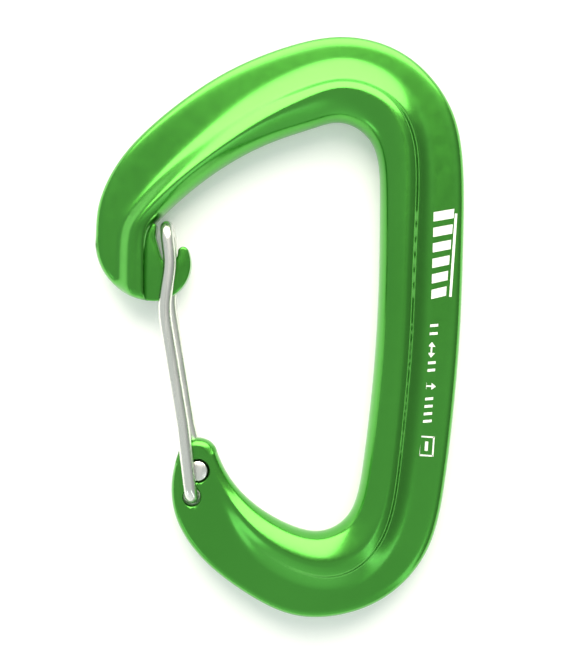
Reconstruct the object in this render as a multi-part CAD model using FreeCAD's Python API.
import FreeCAD, Part
import math
import os

# A wire-gate carabiner lying flat.  +Z is its thickness, +Y runs along the spine and the load line,
# +X runs from the gate to the spine.  The origin is under the middle of the object, on the plane that
# it lies on.  It has two physical pieces: a forged body, and a gate bent from one length of spring
# wire.  The gate's two legs turn in two offset holes and twist the wire at the crown as it opens, so
# each leg is its own solid here and they meet face to face in the middle of the crown.

# ---------------------------------------------------------------- driving dimensions, mm
LENGTH = 94.0  # over the rope end and the sling end
WIDTH = 60.0  # over the nose and the spine
BEAD_THICK = 8.6  # bead that the rope and the sling bear on, the thickest part of the body
FLANGE_THICK = 4.0  # flat flange outside the bead, and the hinge tab that it runs into
ROPE_EDGE = 1.4  # how far the round rope surface reaches in from the inner edge
FLANGE_EDGE = 1.5  # how far the rounding of the outer edge reaches in
CREASE_LEAN = 0.3  # how far the steep step at the crease leans back

WIRE_DIA = 2.1
SIDE_GAP = 0.15  # between a leg and the face of the hinge tab beside it
PIVOT_CLEARANCE = 0.4  # round the wire in its hole, which takes up the legs' flex
HEAD_LIP = 0.55  # how far the wire's peened head stands out all round, so that it can't pull out
HEAD_DEPTH = 0.75
COUNTERSINK_EXTRA = 0.1  # how much deeper the countersink is than the head
MOUTH_CHAMFER = 0.15  # where the wire goes into its hole
CROWN_BEND = 2.2  # centre line radius of the two bends at the crown
STUB_BEND = 1.6  # centre line radius of the bend into the hole

NOSE_WIDTH = 8.7  # thick part of the nose, from its outside to the step down to the web
NOSE_RADIUS = 9.5  # round end of the nose
NOSE_INSET = 0.4  # how far inside the body's side the round end starts
NOSE_END = 44.8  # from the rope end to the end of the nose
WEB_STEP = 0.1  # how far the web and the hook lie below each face of the flange
WEB_OVERLAP = 1.3  # how far the web runs back into the thick nose
HOOK_RADIUS = 6.0  # round back of the hook
HOOK_TIP_RADIUS = 0.85
HOOK_TIP_INSET = 0.5  # how far the tip's outside lies inside the hook's widest point
HOOK_TIP_RISE = 0.3636  # centre of the tip over the centre of the notch
HOOK_EDGE_ROUND = 0.5
CROWN_GAP = 1.75  # between the thick part of the nose and the wire at the crown
NOTCH_CLEARANCE = 0.35  # round the wire, in the notch that the crown shuts over
TAB_TIP_RADIUS = 3.0
TAB_TIP_TURN = 19.0  # degrees, how far the tab's tip leans from the load line
TAB_TIP_START = 1.0  # the tip's arc leaves the tab's sides this far past its centre

HEAD_DIA = WIRE_DIA + 2 * HEAD_LIP
NOTCH_RADIUS = WIRE_DIA / 2 + NOTCH_CLEARANCE
WEB_THICK = FLANGE_THICK - 2 * WEB_STEP
# height of the body's middle plane, so that neither the bead nor a leg goes below the ground
MID = max(BEAD_THICK / 2, FLANGE_THICK / 2 + SIDE_GAP + WIRE_DIA)
DEGREE = 3


# ---------------------------------------------------------------- places, from the nearest edges
# Places are laid out on a pattern.  When LENGTH or WIDTH changes, the ends and the sides of the
# pattern keep their shape and move with their edges, and the places between them spread evenly.
PATTERN_LENGTH = 94.0
PATTERN_WIDTH = 60.0
SIDE_ZONE = 20.0
SLING_ZONE = 30.0
ROPE_ZONE = 45.0


def spread(place, pattern, size, first, last):
    """A place along one side of the pattern, moved to a side of another size."""
    if place <= first:
        return place
    if place >= pattern - last:
        return place + size - pattern
    return first + (place - first) * (size - first - last) / (pattern - first - last)


def left_bottom(x, y):
    across = spread(x, PATTERN_WIDTH, WIDTH, SIDE_ZONE, SIDE_ZONE)
    along = spread(y, PATTERN_LENGTH, LENGTH, SLING_ZONE, ROPE_ZONE)
    return FreeCAD.Vector(across - WIDTH / 2, along - LENGTH / 2, 0)


def left_top(x, y):
    return left_bottom(x, PATTERN_LENGTH - y)


def right_top(x, y):
    return left_bottom(PATTERN_WIDTH - x, PATTERN_LENGTH - y)


def right_bottom(x, y):
    return left_bottom(PATTERN_WIDTH - x, y)


NOSE_CENTRE = left_top(NOSE_INSET + NOSE_RADIUS, NOSE_END - NOSE_RADIUS)
CROWN = left_top(NOSE_WIDTH + CROWN_GAP + WIRE_DIA / 2, 32.7)
NOTCH_CENTRE = CROWN + FreeCAD.Vector(0.65, -4.2, 0)
NECK = left_top(NOSE_WIDTH + 1.1, 34.5)  # where the web's edge turns up into the thick nose
TAB_TIP_CENTRE = left_bottom(18.6, 24.7)
FRONT_PIVOT = left_bottom(18.5, 18.25)  # lower hole, which the leg on the +Z side turns in
REAR_PIVOT = left_bottom(19.15, 22.5)  # upper hole, which the leg on the -Z side turns in

# The middle line of each leg between the crown and its pivot: each bend's place from the crown to the
# pivot, its place to the right of the straight line between them, both as shares of that line, and
# the radius of the bend.
FRONT_LEG = [(0.1353, 0.0036, 12.0), (0.2983, -0.0369, 15.0), (0.726, -0.0065, 20.0)]
REAR_LEG = [(0.1493, -0.0011, 12.0), (0.3046, -0.0369, 15.0), (0.8158, -0.0191, 12.0)]

# Ribs across the body from the nose to the hinge tab.  The skin follows them smoothly, as a cubic
# B-spline follows its control net.  Each has its inner point, its outer point, how far the crest, the
# crease and the foot of the bead lie from the inner point, how sharp the crease is, how high the bead
# stands (1 is full), and how upright its inner side is (1 is a wall, 0 is round for the rope).
RIBS = [
    (left_top(NOSE_WIDTH + 1.0, 51.0), left_top(0.4, 51.0), 2.2, 3.4, 5.2, 0.0, 1.0, 1.0),
    (left_top(NOSE_WIDTH + 0.5, 46.0), left_top(0.3, 46.0), 2.2, 3.4, 5.2, 0.0, 1.0, 1.0),
    (left_top(NOSE_WIDTH + 0.1, 41.0), left_top(0.25, 41.0), 2.2, 3.4, 5.2, 0.0, 1.0, 1.0),
    (left_top(NOSE_WIDTH - 0.1, 37.0), left_top(0.1, 37.0), 2.2, 3.4, 5.2, 0.0, 1.0, 1.0),
    (left_top(NOSE_WIDTH - 0.1, 33.4), left_top(-0.1, 33.0), 2.2, 3.4, 5.2, 0.0, 1.0, 0.8),
    (left_top(NOSE_WIDTH + 1.7, 31.2), left_top(0.0, 28.7), 2.3, 3.6, 5.6, 0.0, 1.0, 0.4),
    (left_top(14.8, 26.5), left_top(3.0, 21.4), 2.3, 3.9, 6.1, 0.0, 1.0, 0.0),
    (left_top(21.0, 21.3), left_top(10.0, 13.9), 2.4, 4.4, 6.7, 0.0, 1.0, 0.0),
    (left_top(27.8, 17.4), left_top(19.2, 6.4), 3.4, 5.3, 8.4, 0.3, 1.0, 0.0),
    (right_top(26.2, 15.2), right_top(30.0, 1.4), 4.7, 6.2, 9.6, 0.8, 1.0, 0.0),
    (right_top(22.5, 13.5), right_top(22.0, -0.6), 5.2, 6.6, 10.0, 1.0, 1.0, 0.0),
    (right_top(18.9, 14.3), right_top(14.0, 0.7), 5.4, 6.9, 10.0, 1.0, 1.0, 0.0),
    (right_top(16.1, 16.7), right_top(7.8, 4.7), 5.5, 7.1, 9.8, 1.0, 1.0, 0.0),
    (right_top(14.8, 20.8), right_top(2.7, 11.4), 5.2, 7.0, 9.4, 1.0, 1.0, 0.0),
    (right_top(14.4, 27.5), right_top(1.05, 20.8), 4.6, 6.4, 8.8, 1.0, 1.0, 0.0),
    (right_top(13.8, 37.3), right_top(0.55, 32.0), 4.1, 5.7, 8.3, 1.0, 1.0, 0.0),
    (right_bottom(13.5, 45.5), right_bottom(0.0, 48.5), 4.0, 5.6, 8.1, 1.0, 1.0, 0.0),
    (right_bottom(13.7, 35.5), right_bottom(0.2, 35.8), 4.0, 5.5, 8.1, 1.0, 1.0, 0.0),
    (right_bottom(14.2, 26.4), right_bottom(0.8, 22.8), 4.2, 5.8, 8.4, 1.0, 1.0, 0.0),
    (right_bottom(14.7, 19.6), right_bottom(2.1, 11.8), 4.6, 6.4, 8.9, 1.0, 1.0, 0.0),
    (right_bottom(16.6, 15.6), right_bottom(8.3, 3.9), 5.0, 7.2, 9.6, 1.0, 1.0, 0.0),
    (right_bottom(20.7, 13.4), right_bottom(16.1, 0.3), 5.0, 7.4, 9.8, 0.9, 1.0, 0.0),
    (right_bottom(25.9, 14.6), right_bottom(24.3, -0.5), 4.6, 6.5, 9.6, 0.5, 1.0, 0.0),
    (left_bottom(28.6, 17.3), left_bottom(27.8, 3.2), 3.4, 5.0, 8.5, 0.1, 0.75, 0.0),
    (left_bottom(24.3, 21.2), left_bottom(20.8, 7.7), 2.2, 3.4, 5.5, 0.0, 0.15, 0.0),
    (left_bottom(21.9, 25.6), left_bottom(15.7, 13.9), 1.8, 2.6, 3.6, 0.0, 0.0, 0.0),
    (left_bottom(20.9, 29.0), left_bottom(14.45, 21.2), 1.7, 2.2, 2.7, 0.0, 0.0, 0.0),
    (left_bottom(19.6, 32.5), left_bottom(16.8, 28.5), 1.7, 2.1, 2.5, 0.0, 0.0, 0.0),
    (left_bottom(19.4, 36.0), left_bottom(16.9, 33.0), 1.7, 2.0, 2.3, 0.0, 0.0, 0.0),
]


# ---------------------------------------------------------------- the body's skin
def mix(a, b, share):
    return a + (b - a) * share


def half_section(width, crest, crease, foot, sharp, bead, wall):
    """The net of one rib above the middle plane, as (distance from the inner edge, height)."""
    low = FLANGE_THICK / 2
    lift = bead * (BEAD_THICK / 2 - low)
    top = low + lift

    # inner edge: a rounded flange edge where the bead has faded out, then the rope surface or a wall
    net = [(0.0, 0.0)]
    round_side = [(0.12, 0.30), (0.52, 0.57), (1.0, 0.765)]
    wall_side = [(0.0, 0.40), (0.08, 0.75), (0.35, 0.95)]
    flange_side = [(0.10, 0.60), (0.50, 0.95), (1.0, 1.0)]
    for (u_round, z_round), (u_wall, z_wall), (u_low, z_low) in zip(round_side, wall_side, flange_side):
        u = mix(u_low, mix(u_round, u_wall, wall), bead) * ROPE_EDGE
        net.append((u, mix(z_low * low, mix(z_round, z_wall, wall) * top, bead)))
    net[0] = (-net[1][0] / 2, 0.0)

    # top of the bead, and the way down from its crest: over a crease, or in one smooth slope
    edge = net[-1][0]
    net.append((mix(edge, crest, 0.5), low + mix(0.87, 0.90, wall) * lift))
    net.append((crest, low + 1.05 * lift))
    creased = [
        (mix(crest, crease, 0.45), 0.92),
        (crease - CREASE_LEAN, 0.80),
        (crease + CREASE_LEAN / 3, 0.50),
        (mix(crease, foot, 0.28), 0.33),
        (mix(crease, foot, 0.62), 0.12),
    ]
    slope = [(0.18, 0.91), (0.38, 0.66), (0.57, 0.39), (0.75, 0.17), (0.90, 0.05)]
    smooth = [(mix(crest, foot, share), z) for share, z in slope]
    for (u_smooth, z_smooth), (u_creased, z_creased) in zip(smooth, creased):
        net.append((mix(u_smooth, u_creased, sharp), low + mix(z_smooth, z_creased, sharp) * lift))

    # flat flange and its rounded outer edge
    rounding = width - FLANGE_EDGE
    for share in (0.0, 0.3, 0.7, 1.0):
        net.append((mix(foot, rounding, share), low))
    net.append((width - 0.5 * FLANGE_EDGE, 0.94 * low))
    net.append((width - 0.08 * FLANGE_EDGE, 0.60 * low))
    net.append((width + 0.04 * FLANGE_EDGE, 0.0))
    return net


def rib_ring(rib):
    """The closed ring of control points of one rib, over the top and back underneath."""
    inner, outer = rib[0], rib[1]
    across = outer - inner
    width = across.Length
    across.normalize()
    half = half_section(width, *rib[2:])
    above = [inner + across * u + FreeCAD.Vector(0, 0, MID + z) for u, z in half]
    below = [inner + across * u + FreeCAD.Vector(0, 0, MID - z) for u, z in half[-2:0:-1]]
    return above + below


def skinned_bar():
    """The forged bar before its ends are cut to shape."""
    rings = [rib_ring(rib) for rib in RIBS]
    # one more ring straight on past each end, so that the skin begins and ends on a flat rib
    rings.insert(0, [a * 2 - b for a, b in zip(rings[0], rings[1])])
    rings.append([a * 2 - b for a, b in zip(rings[-1], rings[-2])])
    along = len(rings)
    around = len(rings[0])
    skin = Part.BSplineSurface()
    u_knots = list(range(along + DEGREE + 1))
    v_knots = list(range(around + 1))
    skin.buildFromPolesMultsKnots(
        rings, [1] * len(u_knots), [1] * len(v_knots), u_knots, v_knots, False, True, DEGREE, DEGREE
    )
    # an upper and a lower face that meet on the middle plane, and a cap on each end
    halves = [(0, around / 2), (around / 2, around)]
    faces = []
    for first, last in halves:
        face = skin.copy()
        face.segment(DEGREE, along, first, last)
        faces.append(face.toShape())
    for end in (DEGREE, along):
        rims = [skin.uIso(end).toShape(first, last) for first, last in halves]
        faces.append(Part.Face(Part.Wire(rims)))
    shell = Part.makeShell(faces)
    shell.sewShape()
    bar = Part.makeSolid(shell)
    if bar.Volume < 0:
        bar.reverse()
    return bar


def pillar(centre, radius, thick):
    """An upright cylinder about the middle plane."""
    base = FreeCAD.Vector(centre.x, centre.y, MID - thick / 2)
    return Part.makeCylinder(radius, thick, base)


def block(low, high, thick):
    """An upright block about the middle plane, between two opposite corners in plan."""
    base = FreeCAD.Vector(low[0], low[1], MID - thick / 2)
    return Part.makeBox(high[0] - low[0], high[1] - low[1], thick, base)


# ---------------------------------------------------------------- the body
def trimmed_nose(bar):
    """The bar with its upper end cut to the round nose."""
    clear = 2 * BEAD_THICK
    low = (-WIDTH / 2 - WIRE_DIA, RIBS[0][0].y - WIRE_DIA)
    high = (NOTCH_CENTRE.x, NOSE_CENTRE.y - 2.0)
    waste = block(low, high, clear).cut(pillar(NOSE_CENTRE, NOSE_RADIUS, clear))
    return bar.cut(waste)


def trimmed_tab(bar):
    """The bar with its lower end cut to the round tip of the hinge tab."""
    clear = 2 * BEAD_THICK
    tip = TAB_TIP_CENTRE
    reach = (RIBS[-1][0] - tip).Length + TAB_TIP_RADIUS
    low = (tip.x - reach, tip.y + TAB_TIP_START)
    high = (tip.x + reach, tip.y + reach + TAB_TIP_RADIUS)
    waste = block(low, high, clear)
    waste.rotate(tip, FreeCAD.Vector(0, 0, 1), TAB_TIP_TURN)
    return bar.cut(waste.cut(pillar(tip, TAB_TIP_RADIUS, clear)))


def point_on(centre, radius, towards):
    """The point of a circle that lies in the given direction from its centre."""
    return centre + FreeCAD.Vector(towards).normalize() * radius


def tangent_point(centre, radius, apex):
    """Where a line from the apex, which lies up and to the left, touches a circle's left side."""
    out = apex - centre
    turn = FreeCAD.Rotation(FreeCAD.Vector(0, 0, 1), math.degrees(math.acos(radius / out.Length)))
    return point_on(centre, radius, turn.multVec(out))


def nose_web():
    """The thin web under the gate's crown, with the notch that the crown shuts into and the hook."""
    back = left_top(NOSE_WIDTH - WEB_OVERLAP, 0).x
    neck_top = NECK.y + 2.2
    up = FreeCAD.Vector(0, 1, 0)

    # the tip is round, between the notch's side and the hook's back, which it touches from inside
    notch_right = NOTCH_CENTRE + FreeCAD.Vector(NOTCH_RADIUS, 0, 0)
    tip = notch_right + FreeCAD.Vector(HOOK_TIP_RADIUS, HOOK_TIP_RISE, 0)
    inside = HOOK_RADIUS - HOOK_TIP_RADIUS
    back_reach = inside - HOOK_TIP_INSET
    hook_centre = tip - FreeCAD.Vector(back_reach, math.sqrt(inside**2 - back_reach**2), 0)
    tip_back = point_on(hook_centre, HOOK_RADIUS, tip - hook_centre)
    tip_front = tip - FreeCAD.Vector(HOOK_TIP_RADIUS, 0, 0)

    drop = math.sqrt(HOOK_RADIUS**2 - (back - hook_centre.x) ** 2)
    heel = FreeCAD.Vector(back, hook_centre.y - drop, 0)
    low_right = point_on(hook_centre, HOOK_RADIUS, (1, -1, 0))
    notch_left = tangent_point(NOTCH_CENTRE, NOTCH_RADIUS, NECK)
    neck_end = FreeCAD.Vector(NECK.x, neck_top, 0)
    corner = FreeCAD.Vector(back, neck_top, 0)
    outline = [
        Part.Arc(heel, low_right, tip_back),
        Part.Arc(tip_back, point_on(tip, HOOK_TIP_RADIUS, up), tip_front),
        Part.LineSegment(tip_front, notch_right),
        Part.Arc(notch_right, NOTCH_CENTRE - up * NOTCH_RADIUS, notch_left),
        Part.LineSegment(notch_left, NECK),
        Part.LineSegment(NECK, neck_end),
        Part.LineSegment(neck_end, corner),
        Part.LineSegment(corner, heel),
    ]
    face = Part.Face(Part.Wire([curve.toShape() for curve in outline]))
    web = face.extrude(FreeCAD.Vector(0, 0, WEB_THICK))
    web.translate(FreeCAD.Vector(0, 0, MID - WEB_THICK / 2))
    flat = [edge for edge in web.Edges if edge.BoundBox.ZLength < 1e-6]
    rims = [edge for edge in flat if edge.BoundBox.XMax > NECK.x + 1e-6]
    return web.makeFillet(HOOK_EDGE_ROUND, rims)


def flared(face, inward, depth, radius, mouth_radius):
    """A cone that widens from the radius, at the given depth below a face, to its mouth and beyond."""
    beyond = depth
    outer_radius = mouth_radius + (mouth_radius - radius) * beyond / depth
    return Part.makeCone(radius, outer_radius, depth + beyond, face + inward * depth, inward * -1)


def pivot_hole(pivot, head_side):
    """What is cut away for one leg: the hole, its mouth, and the countersink that holds the head."""
    inward = FreeCAD.Vector(0, 0, -head_side)
    radius = WIRE_DIA / 2 + PIVOT_CLEARANCE
    head_face = FreeCAD.Vector(pivot.x, pivot.y, MID) - inward * (FLANGE_THICK / 2)
    mouth_face = head_face + inward * FLANGE_THICK
    depth = HEAD_DEPTH + COUNTERSINK_EXTRA
    countersink = flared(head_face, inward, depth, radius, HEAD_DIA / 2 + PIVOT_CLEARANCE)
    mouth = flared(mouth_face, inward * -1, MOUTH_CHAMFER, radius, radius + MOUTH_CHAMFER)
    return pillar(pivot, radius, 2 * FLANGE_THICK).fuse([countersink, mouth])


def forged_body():
    body = trimmed_tab(trimmed_nose(skinned_bar()))
    body = body.fuse(nose_web())
    body = body.cut(pivot_hole(FRONT_PIVOT, -1))
    return body.cut(pivot_hole(REAR_PIVOT, 1))


# ---------------------------------------------------------------- the wire gate
BEND_SHARE = 0.48  # of a straight run that the bend at one end of it may take


def rounded_path(corners):
    """Straight runs joined by tangent arcs, through (corner, bend radius) pairs."""
    edges = []
    start = corners[0][0]
    for (before, _), (corner, radius), (after, _) in zip(corners, corners[1:], corners[2:]):
        way_in = (corner - before).normalize()
        way_out = (after - corner).normalize()
        half_turn = way_in.getAngle(way_out) / 2
        # a run shares its length between the bends at its two ends
        run_in = (corner - before).Length * (BEND_SHARE if before is not corners[0][0] else 1)
        run_out = (after - corner).Length * (BEND_SHARE if after is not corners[-1][0] else 1)
        reach = min(radius * math.tan(half_turn), run_in, run_out)
        radius = reach / math.tan(half_turn)
        sagitta = radius * (1 / math.cos(half_turn) - 1)
        arc_start = corner - way_in * reach
        arc_end = corner + way_out * reach
        arc_middle = corner + (way_out - way_in).normalize() * sagitta
        edges.append(Part.LineSegment(start, arc_start).toShape())
        edges.append(Part.Arc(arc_start, arc_middle, arc_end).toShape())
        start = arc_end
    edges.append(Part.LineSegment(start, corners[-1][0]).toShape())
    return Part.Wire(edges)


def gate_leg(side, bends, pivot):
    """Half of the gate, from the middle of the crown to its peened head; side is 1 for +Z, else -1."""
    leg_height = MID + side * (FLANGE_THICK / 2 + SIDE_GAP + WIRE_DIA / 2)
    head_height = MID - side * FLANGE_THICK / 2

    def at(point, height):
        return FreeCAD.Vector(point.x, point.y, height)

    line = pivot - CROWN
    aside = FreeCAD.Vector(-line.y, line.x, 0)
    corners = [(at(CROWN, MID), 0), (at(CROWN, leg_height), CROWN_BEND)]
    corners += [(at(CROWN + line * down + aside * off, leg_height), radius) for down, off, radius in bends]
    corners += [(at(pivot, leg_height), STUB_BEND), (at(pivot, head_height), 0)]
    path = rounded_path(corners)
    towards = FreeCAD.Vector(0, 0, side)
    ring = Part.Wire([Part.makeCircle(WIRE_DIA / 2, at(CROWN, MID), towards)])
    wire = path.makePipeShell([ring], True, False)
    neck = at(pivot, head_height + side * HEAD_DEPTH)
    head = Part.makeCone(WIRE_DIA / 2, HEAD_DIA / 2, HEAD_DEPTH, neck, towards * -1)
    return wire.fuse(head)


# ---------------------------------------------------------------- one file a piece
pieces = {
    "body": forged_body(),
    "gate_front_leg": gate_leg(1, FRONT_LEG, FRONT_PIVOT),
    "gate_rear_leg": gate_leg(-1, REAR_LEG, REAR_PIVOT),
}
os.makedirs("parts", exist_ok=True)
for name, shape in pieces.items():
    solid = shape.Solids[0]
    print(name, len(shape.Solids), solid.isValid(), round(solid.Volume, 1), solid.BoundBox)
    solid.exportStep(os.path.join("parts", name + ".step"))
